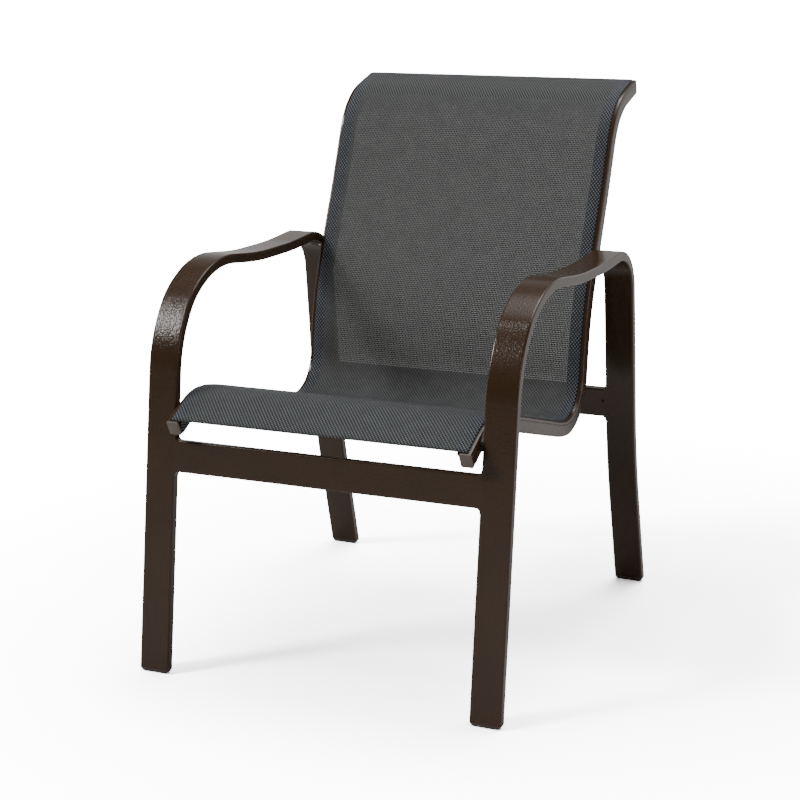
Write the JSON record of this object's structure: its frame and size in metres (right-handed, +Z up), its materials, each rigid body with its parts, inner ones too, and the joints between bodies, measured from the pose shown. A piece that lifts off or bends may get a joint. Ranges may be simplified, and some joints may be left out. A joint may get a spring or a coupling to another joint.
{
  "type": "sling patio chair",
  "caption": "Patio armchair with bent flat-tube arm frames, straight cross stretchers and a mesh sling held between curved side rails.",
  "frame": {"origin": "on the floor, under the middle of the chair's bounding box", "axes": "+Z up, -Y the way the seat faces, +X to the sitter's left"},
  "size_m": [0.61, 0.7868, 0.8767],
  "materials": {
    "frame_coat": "dark bronze powder coat, satin with a fine pebbled texture",
    "sling_mesh": "open woven coated mesh, charcoal",
    "cap_plastic": "moulded, bronze brown",
    "glide_plastic": "moulded, dark brown",
    "spacer_plastic": "moulded, black",
    "spline_plastic": "extruded, off-white",
    "steel": "zinc plated"
  },
  "bodies": {
    "root": {"arm_frame_left": "frame_coat", "sling_rail_left": "frame_coat", "spline_rod_left": "spline_plastic", "rail_front_cap_left": "cap_plastic", "rail_top_cap_left": "cap_plastic", "front_foot_glide_left": "glide_plastic", "rear_foot_glide_left": "glide_plastic", "front_rail_bolt_left": "steel", "front_rail_washer_left": "steel", "front_rail_spacer_left": "spacer_plastic", "front_frame_insert_left": "steel", "rear_rail_bolt_left": "steel", "rear_rail_washer_left": "steel", "rear_rail_spacer_left": "spacer_plastic", "rear_frame_insert_left": "steel", "arm_frame_right": "frame_coat", "sling_rail_right": "frame_coat", "spline_rod_right": "spline_plastic", "rail_front_cap_right": "cap_plastic", "rail_top_cap_right": "cap_plastic", "front_foot_glide_right": "glide_plastic", "rear_foot_glide_right": "glide_plastic", "front_rail_bolt_right": "steel", "front_rail_washer_right": "steel", "front_rail_spacer_right": "spacer_plastic", "front_frame_insert_right": "steel", "rear_rail_bolt_right": "steel", "rear_rail_washer_right": "steel", "rear_rail_spacer_right": "spacer_plastic", "rear_frame_insert_right": "steel", "front_stretcher": "frame_coat", "rear_stretcher": "frame_coat", "sling": "sling_mesh"}
  },
  "joints": []
}
